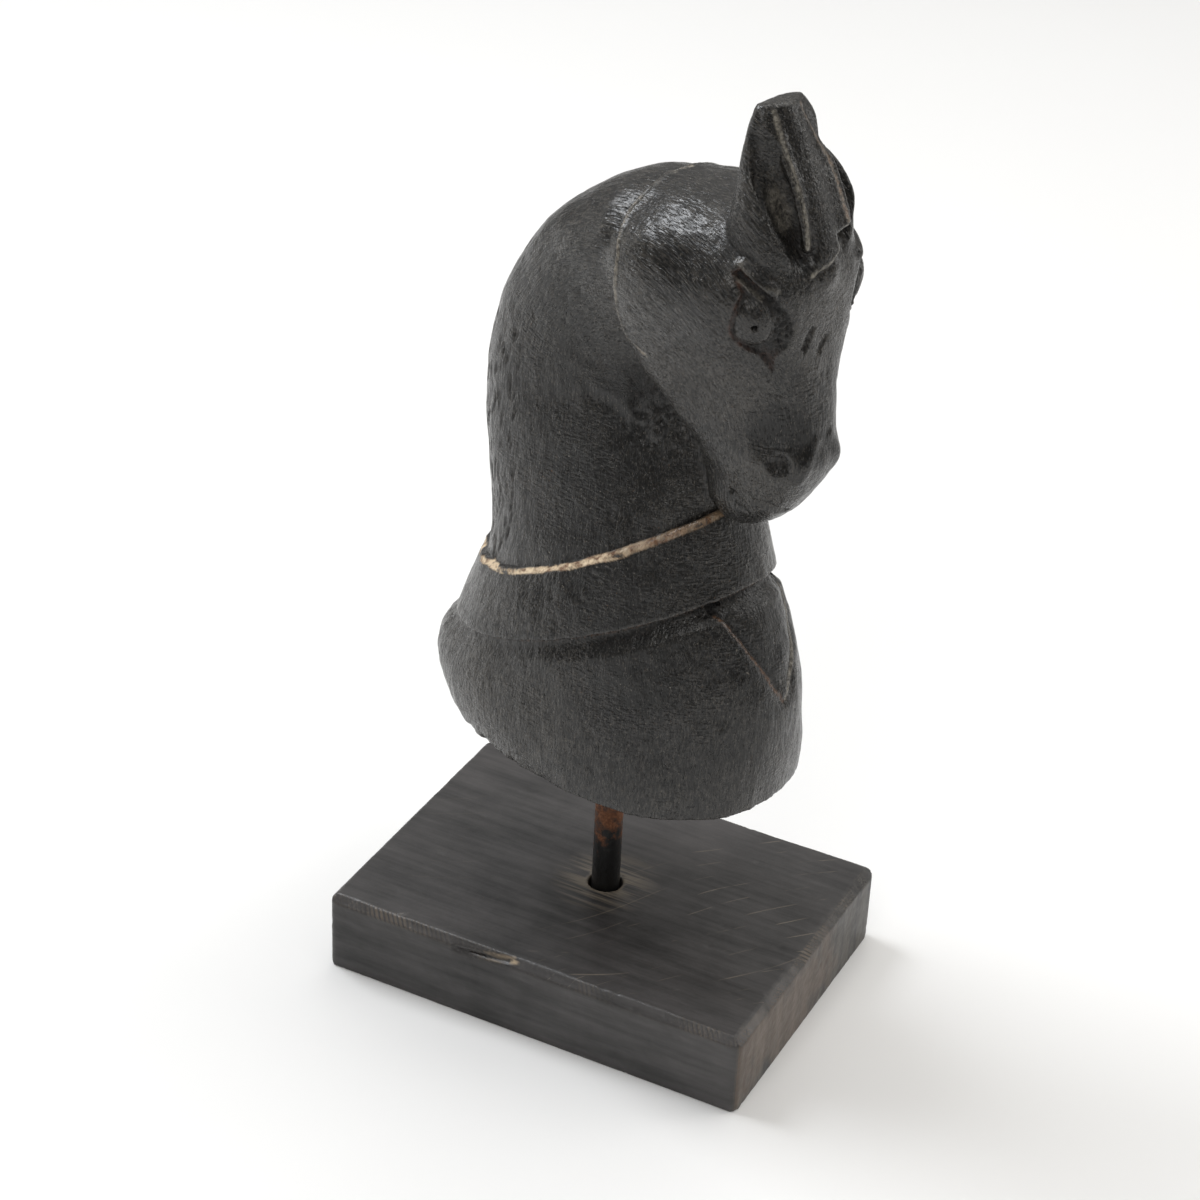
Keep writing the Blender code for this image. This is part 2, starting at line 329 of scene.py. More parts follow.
# Carved horse: its own millimetres are measured from the rod's axis and the flat cut below
horse = {
    "turn": math.radians(15),          # the bust is turned this far to its right
    "voxel": 0.5 * mm,
    "triangles": 194000,
    "bend": (14, 108),                 # middle of the neck's bend, seen from the side
    "bendRadius": 38,
    "eyeBearing": math.radians(47),
    "eyeball": (25.3, 144, 4.9, 6.3),  # middle, half its width and height
    "pupil": (25.6, 143.6, 0.95, 1.6),  # middle, radius, depth
    "eyeOutline": (
        (19.6, 155.8), (20.6, 153.6), (21.9, 151.8), (20.8, 149.4), (20, 145.3), (19.7, 141.6),
        (21.6, 138.6), (24.1, 136.6), (27, 135.3), (31, 130.2), (31.2, 134.6), (33, 136.6),
        (34.6, 138.2), (35.2, 141), (34.6, 144.5), (32.7, 147.6), (30.4, 150), (28.2, 151.4),
        (26, 153.2), (23.6, 155.2), (21.4, 157.2)),
    "eyeFold": ((20.3, 154.8), (23.4, 152.7), (26.9, 150.2)),
    "eyeDepth": 1.1,
    "ridgeRadius": 1.35,
    "nearFacing": (0.75, -0.6, 0.25),  # which way each part of the forelock looks
    "farFacing": (0.75, 0.3, 0.25),
    "leafFacing": (0.93, -0.1, 0.3),
    "leafRows": 50,
    "leafSag": 0.25,
    "collarTop": (-42, 43.5, 38, 82.5),  # distance and height of an edge behind and in front
    "collarFoot": (-48, 25.5, 44, 61.5),
    "bandRise": 1.5,
    "smoothing": 80,                   # how often the flat facets are smoothed
    "hollowSmoothing": 220,            # and round the eyes and in the ears
    "farEarSmoothing": 32,
    "farEarShift": (0.5, 1.7),         # forwards and outwards
    "neckSwell": 0.8,                  # the neck swells a little down to the collar's ledge
    "undercut": (1.0, 1.2),            # below the collar: all round, and more of it in front
    "cheekStep": (8.0, 1.3),           # reach and depth
    "cheekRidge": (1.3, 0.45, 0.15),   # width, height on the near side and on the far side
    "scoopDepth": 0.3,
    "earScoops": 0.216,                # share of the scoops' depth on the thin ears
    "strokeDepth": 0.11,
    "swellDepth": 0.5,
    "biteDepth": 0.8,
    "fineReach": 2.5,                  # small triangles are kept this near to the drawn lines
    "fineShare": 0.15,
    "lines": {
        "cheek": ((12, 4, 165), (11.2, 0, 164.6), (10.5, -3.2, 163.8), (11, -9.5, 162.7),
            (10.9, -14.6, 160.5), (10.7, -18.1, 157.6), (12.1, -21.9, 154.6), (13.6, -24.8, 150.8),
            (13.9, -25.4, 145), (13.6, -24.2, 138), (15.3, -22.9, 131.5), (17.3, -21.9, 128),
            (22.3, -21.8, 125.5)),
        "browRidge": ((46, -19.5, 159), (49.5, -19.2, 156.4), (53.2, -17.4, 153.4), (57, -14.8, 152)),
        "muzzleHollow": ((56, -10.5, 124), (54.5, -12, 117), (54, -12.3, 111), (56, -12, 106)),
        "muzzleEdge": ((61.5, -1.5, 112.5), (61.8, -4.6, 108), (61.6, -6.5, 104), (59.6, -7, 98.5)),
        "mouth": ((43.8, -10.8, 91), (45.7, -10, 89.3), (47.6, -9, 87.6)),
        "lip": ((48.6, -10.6, 92.4), (50.5, -10.2, 93.2), (53.4, -8.6, 92.5), (54.6, -6, 90.6),
            (55, -2, 89.6)),
        "throatWall": ((11.5, -16, 117), (12.9, -14.6, 107), (14.6, -15, 99.5), (17.3, -14.2, 96.8),
            (20, -12.8, 99)),
        "shelfHigh": ((12.4, -14.3, 104.6), (17.8, -12.4, 105)),
        "shelfMiddle": ((13.4, -14.8, 101), (18.6, -12.9, 101.8)),
        "shelfLow": ((14.2, -15.2, 97.8), (19, -13.8, 98)),
        "throatCrest": ((0, -19, 107), (4.5, -17.3, 106.4), (9.2, -15.8, 105), (12.9, -15.1, 101.5),
            (16, -14.6, 97)),
        "creaseNear": ((58.9, -3.8, 141.4), (58.8, -5.2, 138.9), (58.5, -7.3, 134.3)),
        "creaseFar": ((58.9, 1.7, 137.2), (58.9, -0.6, 135.2), (58.9, -1.9, 132)),
        "breastNear": ((42, -12, 58), (45.5, -9.7, 53), (49, -7, 47.5), (52, -3.6, 41.5), (54.5, 0.5, 34),
            (55, 2.5, 30.5)),
        "breastFar": ((42, 18.5, 58), (46, 14, 50), (50, 11, 41), (54, 6, 33.5), (55, 3.5, 30.5)),
        "ridgeNear": ((44.6, -8, 191.6), (46.5, -8.1, 188.7), (48.5, -8.3, 184.9), (50.2, -8.2, 181.3),
            (52.3, -8.1, 177.5), (54, -7.7, 173.5), (55.1, -7.3, 169.5), (56.3, -6.8, 165),
            (56.8, -6.3, 160.5)),
        "ridgeFar": ((46.4, -0.2, 191.8), (47.4, 0, 189.9), (48.7, 1.6, 186.5), (50.2, 3.3, 182),
            (51.6, 5.1, 178), (53.4, 5.9, 174), (55, 6.6, 170), (56.3, 7, 166.5), (57.4, 7.3, 163.6)),
        "leafTip": ((57.8, 7.2, 162.5), (58.4, 5.2, 159.8), (60, 1, 157.8), (60.4, -1.6, 156),
            (59.9, -3.4, 155.4), (59.1, -4.6, 155), (57.7, -5.6, 153.8)),
        "leafNick": ((56.6, -6.2, 160.2), (56.6, -6.6, 156.6)),
        "earGroove": ((43.6, -11, 189.5), (44, -12.2, 184), (44.6, -12.8, 178.5), (47.4, -14.4, 173.4),
            (50.6, -15.2, 168.4), (53, -14.2, 163.8), (55, -10.5, 161.2), (56.4, -7.4, 160.4)),
    },
    # name, width, depth, sharpness, on both sides; a negative depth is a ridge
    "grooves": (
        ("browRidge", 2.6, -0.95, 1.0), ("muzzleHollow", 5.5, 1.1, 1.0),
        ("muzzleEdge", 2.6, -0.45, 1.0), ("mouth", 0.9, 0.9, 1.4), ("earGroove", 1.8, 0.9, 1.0),
    ),
    # the same, on one side or across the middle
    "singles": (
        ("creaseNear", 1.3, 0.8, 1.0), ("creaseFar", 1.1, 0.5, 1.0), ("leafNick", 0.8, 0.9, 1.2),
    ),
    # name, reach, depth, 1 where the line's left goes down and -1 where its right does, edge
    "sideSteps": (
        ("throatCrest", 14.0, 0.9, -1, 2.5), ("throatWall", 10.0, 1.1, 1, 1.8),
        ("shelfHigh", 3.2, 0.35, -1, 0.4), ("shelfMiddle", 3.2, 0.35, -1, 0.4),
        ("shelfLow", 3.2, 0.35, -1, 0.4), ("lip", 3.2, 0.9, -1, 0.4),
    ),
    # the same without an edge, on one side or across the middle
    "steps": (
        ("breastNear", 9.0, 1.0, 1), ("breastFar", 7.0, 0.6, -1), ("ridgeNear", 4.0, 0.9, -1),
        ("ridgeFar", 4.0, 0.9, 1), ("leafTip", 4.0, 0.9, 1),
    ),
    # place, radius, depth: the nostril in two, and the corner of the mouth
    "pits": (
        ((57.4, -12.2, 105.4), 4.0, 2.4), ((57.0, -12.0, 103.8), 2.6, 1.2),
        ((43.3, -10.9, 92.9), 1.2, 1.3),
    ),
    # knife cuts: middle, spread, heading, count, length, width, depth
    "cuts": (
        ((22, -13, 107), (7, 6, 12), (0.5, 0.1, 0.85), 50, 3.2, 0.55, 0.4),
        ((-30, -14, 82), (12, 16, 34), (0.15, 0, 1), 170, 3.0, 0.55, 0.34),
        ((24, -16, 158), (16, 12, 9), (0.5, -0.5, -0.7), 40, 4.5, 0.9, 0.12),
        ((36, -20, 122), (18, 12, 24), (0.5, 0, -0.85), 130, 3.0, 0.45, 0.13),
        ((0, -24, 100), (34, 18, 48), (0.1, 0, 1), 260, 2.6, 0.5, 0.15),
        ((4, -26, 28), (58, 24, 30), (0.7, 0, 0.7), 260, 2.2, 0.5, 0.13),
        ((48, -6, 174), (12, 14, 18), (0.4, 0, -0.9), 60, 2.6, 0.45, 0.13),
    ),
    # worn along the drawn lines, and on the pale lines a painted sheen on the crests as well: name, side,
    # share, shift forwards
    "brownLines": (("breastNear", 1, 1.0, 0), ("ridgeFar", 1, 0.8, 0), ("cheek", 1, 0.25, 0)),
    "paleLines": (
        ("ridgeNear", 1, 1.0, 0), ("ridgeFar", 1, 0.9, 0), ("leafTip", 1, 0.9, 0),
        ("cheek", 1, 0.9, 0.4), ("cheek", -1, 0.35, 0.4), ("breastFar", 1, 0.7, 0),
        ("browRidge", 1, 0.3, 0),
    ),
    # pale dust in the ears' hollows: place, radius, share
    "earDust": (((48.5, -10, 178), 3.0, 0.2), ((49.5, -9.5, 172), 3.8, 0.5), ((51, -8.5, 167.5), 3.6, 0.5)),
    "stain": (0.0060, 0.0058, 0.0056),
    "rubbed": (0.058, 0.053, 0.047),
    "fleckAndGlint": (0.24, 0.215, 0.18),
    "paleDustAndSheen": (0.3, 0.275, 0.23),
    "brownDust": (0.06, 0.04, 0.026),
    "brownWood": (0.17, 0.085, 0.042),
    "redWood": (0.085, 0.036, 0.022),
    "bareWood": (0.76, 0.6, 0.41),
    "gloss": 0.22,
    # painted shade and painted light: spots painted darker (black), where the skin lies in shade or
    # reflects the dark side of the room, and spots painted lighter (grey), where light falls on it: place,
    # reach
    "black": (((6, -28, 88), 20), ((8, -27, 66), 13), ((22, -30, 56), 16), ((30, -32, 38), 17),
              ((50, -4, 48), 13), ((13, -13, 106), 12), ((54, -12, 114), 8), ((46, -12, 162), 8),
              ((57, -12, 104.5), 4.5)),
    "grey": (((20, -25, 140), 20), ((42, -20, 124), 18), ((52, -14, 98), 13), ((-30, -24, 22), 28),
             ((0, -34, 8), 26), ((-36, -20, 60), 16), ((58, 0, 140), 14)),
}

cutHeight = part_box("bust")[0].z
turnCos, turnSin = math.cos(horse["turn"]), math.sin(horse["turn"])


def turned(vectors, sine):
    # about the rod: a positive sine gives the horse's own directions, a negative one leads back
    x, y, z = vectors.T
    return np.stack([x * turnCos - y * sine, x * sine + y * turnCos, z], 1)


def toHorse(points):
    return turned(points - (0, 0, cutHeight), turnSin) / mm


def fromHorse(points):
    return turned(points + (0, 0, cutHeight / mm), -turnSin) * mm


def horseNormals(piece, points):
    # moves the skin there and measures which way it faces
    writeArray(piece.data, fromHorse(points))
    return turned(readArray(piece.data, "normal"), turnSin)


def bandHeight(points, ends):
    backX, backZ, frontX, frontZ = ends
    share = np.clip((points[:, 0] - backX) / (frontX - backX), 0, 1)
    return backZ + (frontZ - backZ) * share ** horse["bandRise"]


def flowOf(points):
    # along the neck and head, out from the middle of the bend, and across
    bendX, bendZ = horse["bend"]
    x, y, z = points.T
    dx, dz = x - bendX, z - bendZ
    angle = np.arctan2(np.maximum(dz, 0), np.abs(dx))
    along = np.where(dz > 0, angle * horse["bendRadius"], dz)
    out = np.where(dz > 0, np.hypot(dx, dz), np.abs(dx))
    return np.stack([along, out, y], 1)


def ovalGap(u, v, outline):
    # signed distance to a closed outline in the plane, positive inside
    best = np.full(len(u), 1e9)
    inside = np.zeros(len(u), bool)
    for (x0, y0), (x1, y1) in zip(outline, outline[1:] + outline[:1]):
        ex, ey = x1 - x0, y1 - y0
        t = np.clip(((u - x0) * ex + (v - y0) * ey) / (ex * ex + ey * ey), 0, 1)
        best = np.minimum(best, np.hypot(u - x0 - t * ex, v - y0 - t * ey))
        crosses = ((y0 > v) != (y1 > v)) & (u < ex * (v - y0) / (ey if ey else 1e-9) + x0)
        inside ^= crosses
    return np.where(inside, best, -best)


def eyePlane(points, normals, side):
    # the eye's own plane, looking square at it; side 1 is the near, right eye
    c, s = math.cos(horse["eyeBearing"]), math.sin(horse["eyeBearing"])
    x, y, z = points.T
    u = x * s + y * side * c
    facing = normals[:, 0] * c - normals[:, 1] * side * s
    seen = (facing > 0.1) & (u > 14) & (u < 40) & (z > 124) & (z < 162)
    return np.where(seen & (y * side < 6))[0], u


def eyeGaps(points, near, u):
    # distances in the eye's plane: inside its outline, from its inner fold, and round the ball
    v = points[near, 2]
    u = u[near]
    outline = [tuple(spot)[:2] for spot in smoothLine([(*spot, 0) for spot in horse["eyeOutline"]], 1.0)]
    fold = np.array([tuple(spot)[:2] for spot in smoothLine([(*spot, 0) for spot in horse["eyeFold"]])])
    gap = ovalGap(u, v, outline)
    fromFold = np.min(np.hypot(u[:, None] - fold[:, 0], v[:, None] - fold[:, 1]), axis=1)
    above = v - np.interp(u, fold[:, 0], fold[:, 1])
    ballU, ballV, wide, tall = horse["eyeball"]
    ball = np.hypot((u - ballU) / wide, (v - ballV) / tall)
    return u, v, gap, fromFold, above, ball


def eyeForm(points, normals, side):
    # the eye's hollow with its ball, the drilled pupil and the lid
    near, u = eyePlane(points, normals, side)
    u, v, gap, fromFold, above, ball = eyeGaps(points, near, u)
    rough = roughField(points[near], 3 + side, 0.9)
    gap = gap + 0.2 * rough
    pupilU, pupilV, pupilRadius, pupilDepth = horse["pupil"]
    hole = ease(-np.hypot(u - pupilU, v - pupilV), -pupilRadius, -pupilRadius * 0.45)
    inside = ease(gap, -0.2, 0.6)
    crescent = ease(u, 28.5, 31) * (ball > 1)
    browGroove = ease(above, -0.1, 0.8) * ease(-u, -30, -27)
    hollow = horse["eyeDepth"] * inside * (1 - 0.55 * crescent + 0.4 * browGroove)
    dome = (0.7 * ease(-ball, -1.12, -0.86) + 0.8 * np.clip(1 - ball ** 2, 0, None)) * ease(gap, 0.1, 0.7)
    lid = 0.8 * ease(-fromFold, -0.9, -0.2) * inside
    crumbs = 0.6 * roughField(points[near], 21, 1.1) * crescent * inside
    lift = dome + np.maximum(lid - 0.3 * dome, 0) - hollow - pupilDepth * hole + crumbs
    sink(points, normals, -lift, near)


def addBall(bm, spot):
    centre = fromHorse(np.array([spot]))[0].tolist()
    bmesh.ops.create_icosphere(bm, subdivisions=2, radius=horse["ridgeRadius"] * mm,
                               matrix=Matrix.Translation(centre))


def addBar(bm, line, outward):
    # a rounded bar just below a line, made of overlapping balls that the remesh joins to the carving
    for spot in smoothLine(line, 0.7):
        addBall(bm, np.array(spot) - np.array(outward) * horse["ridgeRadius"] * 0.8)


def addLeaf(bm, near, far):
    # the flat leaf between the ears: rows of balls from one of its edges to the other
    rows, outward = horse["leafRows"], np.array(horse["leafFacing"])
    shares = np.linspace(0, 1, rows)
    near, far = [np.array(smoothLine(line, 0.3)) for line in (near, far)]
    near, far = [line[np.round(shares * (len(line) - 1)).astype(int)] for line in (near, far)]
    for a, b in zip(near, far):
        width = np.linalg.norm(b - a)
        count = max(2, int(width / 0.8))
        for part in range(1, count):
            t = part / count
            sag = 0.5 * t * (1 - t) * width * horse["leafSag"]
            addBall(bm, a + (b - a) * t + outward * (sag - horse["ridgeRadius"]))


def smoothCarving(piece, groupName, amount, iterations):
    group = piece.vertex_groups.new(name=groupName)
    for step in range(1, 11):
        members = np.where((amount > (step - 1) / 10) & (amount <= step / 10))[0]
        group.add(members.tolist(), step / 10, "REPLACE")
    remake(piece, "SMOOTH", factor=0.5, iterations=iterations, vertex_group=groupName)
    points = toHorse(readArray(piece.data))
    return points, horseNormals(piece, points)


def roughOut():
    # the solid with the forelock's two edges and its leaf, as one fine closed skin
    bm = closedMesh("bust")
    near, far = horse["lines"]["ridgeNear"], horse["lines"]["ridgeFar"]
    addBar(bm, near, horse["nearFacing"])
    addBar(bm, far, horse["farFacing"])
    addLeaf(bm, near, far)
    piece = pieceFrom(bm, "carvedHorse")
    remake(piece, "REMESH", mode="VOXEL", voxel_size=horse["voxel"])
    return piece


def softenForms(piece):
    # the solid's flat facets are smoothed away, less on the thin ears and the collar's edges
    points = toHorse(readArray(piece.data))
    x, y, z = points.T
    top = z - bandHeight(points, horse["collarTop"])
    foot = z - bandHeight(points, horse["collarFoot"])
    amount = 0.12 + 0.88 * ease(np.minimum(np.abs(top + 0.5), np.abs(foot)), 1.5, 4.5)
    amount = np.where((z > 158) & (x > 33), 0.1, amount) * (0.1 + 0.9 * ease(z, 1.5, 5))
    points, normals = smoothCarving(piece, "smoothing", amount, horse["smoothing"])

    # more round the eyes and in the ears' hollows, but not along the forelock's edges
    x, y, z = points.T
    amount = np.zeros(len(points))
    for side in (1, -1):
        near, u = eyePlane(points, normals, side)
        amount[near] = ease(-np.hypot(u[near] - 27, z[near] - 143.5), -16, -11)
        leanY = y + 0.07 * (z - 150)
        hollow = ((leanY * side + 9.3) / 4.4) ** 2 + ((z - 173.5) / 15) ** 2
        amount = np.maximum(amount, ease(1 - hollow, 0, 0.35) * (x > 41))
    edges = smoothLine(horse["lines"]["ridgeNear"]) + smoothLine(horse["lines"]["ridgeFar"])
    edges = treeOf(np.array(edges))
    ears = np.where((z > 156) & (x > 34))[0]
    fromEdge = np.array([edges.find(spot)[2] for spot in points[ears].tolist()])
    betweenEdges = (y[ears] > -8) & (y[ears] < 6) & (x[ears] > 46)
    amount[ears] *= ease(fromEdge, 1.2, 3.0) * (1 - 0.9 * betweenEdges)
    points, normals = smoothCarving(piece, "eyes", amount, horse["hollowSmoothing"])
    x, y, z = points.T
    farEar = ease(z, 160, 168) * ease(y, 1, 8) * (x > 33)
    points += farEar[:, None] * (*horse["farEarShift"], 0)
    return points, horseNormals(piece, points)


def collarGaps(points):
    # height above the collar's upper and lower edge, which were cut by hand and wander a little
    wave = 0.45 * roughField(points, 5, 0.12) + 0.2 * roughField(points, 6, 0.5)
    return [points[:, 2] - bandHeight(points, horse[edge]) + wave for edge in ("collarTop", "collarFoot")]


def cutCollar(piece, points, normals):
    # crisp edges above and below the collar
    top, foot = collarGaps(points)
    allRound, inFront = horse["undercut"]
    low = ease(-foot, -0.3, 0.3) * ease(foot, -7, -0.5)
    swell = ease(top, -0.3, 0.3) * ease(-top, -14, -1) * horse["neckSwell"] * ease(-points[:, 2], -98, -88)
    sink(points, normals, low * (allRound + inFront * ease(points[:, 0], 5, 30)) - swell)
    return horseNormals(piece, points)


def carveLines(piece, points, normals, skin):
    def laid(name, side=1):
        return onSkin(skin, horse["lines"][name], side)

    reach, depth = horse["cheekStep"]
    width, nearHeight, farHeight = horse["cheekRidge"]
    for side, height in ((1, nearHeight), (-1, farHeight)):
        cheek = laid("cheek", side)
        cutStep(points, normals, cheek, reach, depth, -side)
        cutLine(points, normals, cheek + (0.5, 0, 0), width, -height)
        for name, stepReach, stepDepth, toLeft, edge in horse["sideSteps"]:
            cutStep(points, normals, laid(name, side), stepReach, stepDepth, toLeft * side, edge)
        for name, *cut in horse["grooves"]:
            if side > 0 or name != "earGroove":
                cutLine(points, normals, laid(name, side), *cut)
        for (x, y, z), *pit in horse["pits"]:
            pressPit(points, normals, (x, y * side, z), *pit)
    for name, *cut in horse["singles"]:
        cutLine(points, normals, laid(name), *cut)
    for name, *step in horse["steps"]:
        cutStep(points, normals, laid(name), *step)
    normals = horseNormals(piece, points)
    for side in (1, -1):
        eyeForm(points, normals, side)
    return horseNormals(piece, points)


def knifeCuts(points, normals, side, seed, middle, spread, heading, count, length, width, depth):
    # short cuts scattered round a middle, all more or less along a heading
    dice = random.Random(seed * 2 + side)
    flip = np.array((1, side, 1))
    inside = np.where((np.abs(points - np.array(middle) * flip) < np.array(spread)).all(1))[0]
    if not len(inside):
        return
    spots = points[inside]
    tree = treeOf(spots)
    for cut in range(count):
        pick = dice.randrange(len(inside))
        centre = spots[pick].copy()
        turn = Vector(heading) + Vector([dice.uniform(-0.22, 0.22) for axis in range(3)])
        ahead = np.array(turn.normalized()) * flip
        long = length * dice.uniform(0.6, 1.4)
        wide = width * dice.uniform(0.7, 1.3)
        near = np.array([found[1] for found in tree.find_range(centre, long)])
        rest = spots[near] - centre
        along = rest @ ahead
        across = np.linalg.norm(rest - along[:, None] * ahead, axis=1)
        dent = np.clip(1 - (along / long) ** 2 - (across / wide) ** 2, 0, None)
        sink(points, normals, depth * dice.uniform(0.6, 1.3) * dent, inside[near])


def markTools(piece, points, normals):
    # shallow scoops along the form, knife cuts, a nibbled lower rim
    flow = flowOf(points)
    x, y, z = points.T
    scoops = horse["scoopDepth"] * (0.5 - cellField(flow, 1, (0.11, 0.26, 0.26)))
    scoops *= np.where((z > 158) & (x > 36), horse["earScoops"], 1.0)
    sink(points, normals, scoops)
    sink(points, normals, horse["strokeDepth"] * roughField(flow, 2, (0.22, 0.75, 0.75)))
    sink(points, normals, horse["swellDepth"] * roughField(points, 31, 0.075))
    fromAxis = np.hypot(x, y)
    bites = ease(-z, -3.0, -0.5) * (fromAxis > 20)
    bites *= ease(cellField(points, 4, (0.27, 0.27, 0.02)), 0.35, 0.75) * (0.15 + 0.85 * ease(-x, -5, 20))
    inward = points * (1, 1, 0) / fromAxis[:, None]
    sink(points, inward, horse["biteDepth"] * bites)
    for number, cuts in enumerate(horse["cuts"]):
        for side in (1, -1):
            knifeCuts(points, normals, side, number, *cuts)
    horseNormals(piece, points)


def thinHorse(piece, points):
    farEar = ease(points[:, 2], 158, 163) * ease(points[:, 1], 6, 9) * (points[:, 0] > 36)
    points, normals = smoothCarving(piece, "farEar", farEar, horse["farEarSmoothing"])

    # most triangles are kept near the drawn lines and the collar's edges
    skin = treeOf(points)
    fine = np.zeros(len(points), bool)
    for line in horse["lines"].values():
        for side in (1, -1):
            fine[alongLine(points, normals, onSkin(skin, line, side), horse["fineReach"])[0]] = True
    top, foot = collarGaps(points)
    fine[(np.minimum(np.abs(top), np.abs(foot)) < 2) & (points[:, 2] < 92)] = True
    group = piece.vertex_groups.new(name="plain")
    group.add(np.where(~fine)[0].tolist(), 1.0, "REPLACE")
    group.add(np.where(fine)[0].tolist(), horse["fineShare"], "REPLACE")
    remake(piece, "DECIMATE", ratio=horse["triangles"] / (2 * len(points)), vertex_group="plain")


def carveHorse():
    piece = roughOut()
    points, normals = softenForms(piece)
    print("horse remeshed:", len(points), "vertices")
    skin = treeOf(points)
    normals = cutCollar(piece, points, normals)
    normals = carveLines(piece, points, normals, skin)
    print("horse carved")
    markTools(piece, points, normals)
    thinHorse(piece, points)
    print("horse thinned:", len(piece.data.polygons), "faces")
    return piece


def shadeOf(points):
    # darker and lighter areas: random tone, with painted shade round the black spots and painted light
    # round the grey spots
    shade = 0.5 + 0.25 * roughField(points, 41, 0.05)
    ragged = 0.15 * roughField(points, 42, 0.12)
    for key, share in (("black", -0.6), ("grey", 0.45)):
        for spot, reach in horse[key]:
            for side in (1, -1):
                shade += share * ease(ragged - gapTo(points, spot, side) / reach, -1.15, -0.3)
    return np.clip(shade, 0, 1)


def wearCollar(points, normals, ragged):
    # the ledge above the collar is bare wood, brown in front; its lower edge is worn brown
    x, y, z = points.T
    top, foot = collarGaps(points)
    wide = 0.6 + 0.5 * ease(x, -5, 25)
    ledge = ease(normals[:, 2] + 0.1 * ragged, 0.2, 0.42) * (z < 92)
    ledge *= ease(-np.abs(top - 0.15) / wide, -1.3, -0.8)
    edge = 0.6 * ease(-np.abs(foot), -0.7, -0.2) * ease(ragged, -0.15, 0.25)
    return ledge * (1 - 0.75 * ease(x, 10, 30)), np.maximum(ledge * ease(x, -10, 15), edge)


def wearLines(layer, points, normals, skin, rows, full, ragged):
    # worn wood along the drawn lines, on the pale lines with a painted sheen as well; full is how far from
    # a line it is worn through
    for name, side, share, shift in rows:
        line = onSkin(skin, horse["lines"][name], side) + (shift, 0, 0)
        near, distance = alongLine(points, normals, line, 1.3)[:2]
        raiseTo(layer, near, share * ease(-distance, -0.9, -full) * ragged[near])


def wearEyes(points, normals, ragged, pale):
    # the eyes are reddish at the rim and raw round the ball; the gap round the ball and the tear duct are
    # also painted dark as shade
    red, rawAndShaded = np.zeros((2, len(points)))
    for side in (1, -1):
        near, u = eyePlane(points, normals, side)
        u, v, gap, fromFold, above, ball = eyeGaps(points, near, u)
        rim = 0.7 * ease(gap, -0.4, 0.1) * ease(-gap, -1.3, -0.5)
        duct = ease(gap, -0.3, 0.2) * ease(-v, -137.0, -135.4)
        raiseTo(red, near, rim * ease(-u, -28, -22) * ease(ragged[near], -0.45, 0.1))
        raiseTo(red, near, 0.3 * duct)
        raiseTo(rawAndShaded, near, duct)
        raiseTo(rawAndShaded, near, ease(gap, 0, 0.7) * ease(ball, 0.97, 1.12) * (0.3 + 0.7 * ease(u, 26, 30)))
        # painted highlight: the lid's fold is painted pale
        raiseTo(pale, near, 0.6 * ease(-fromFold, -0.55, -0.1) * ease(gap, 0, 0.5))
    return red, rawAndShaded


def markHorse(piece):
    points = toHorse(readArray(piece.data))
    normals = turned(readArray(piece.data, "normal"), turnSin)
    skin = treeOf(points)
    proud, broad = bulge(piece, 8), bulge(piece, 60)
    ragged = 0.5 * roughField(points, 8, 1.1)
    pale = np.zeros(len(points))
    bare, brown = wearCollar(points, normals, ragged)
    wearLines(brown, points, normals, skin, horse["brownLines"], 0.2, ease(ragged, -0.3, 0.2))
    wearLines(pale, points, normals, skin, horse["paleLines"], 0.25, ease(ragged, -0.5, 0.0))
    for spot, radius, share in horse["earDust"]:
        for side in (1, -1):
            gap = gapTo(points, spot, side, (1, 1, 0.7))
            dust = share * ease(-gap, -radius, -radius * 0.4) * ease(-proud, -0.06, 0.02)
            pale = np.maximum(pale, dust)
    red, rawAndShaded = wearEyes(points, normals, ragged, pale)
    # sunk: hollows and creases, where brown dust gathers and where shade is painted in
    sunk = np.clip(-proud * 5, 0, 1) * 0.7 + np.clip(-broad * 0.6 - 0.1, 0, 0.6)
    storeLayers(piece, {
        "proud": np.clip(proud * 7 - 0.1, 0, 1), "sunk": sunk, "shade": shadeOf(points), "bare": bare,
        "brown": brown, "pale": pale, "red": red, "eyeRawShade": rawAndShaded, "flow": flowOf(points)})


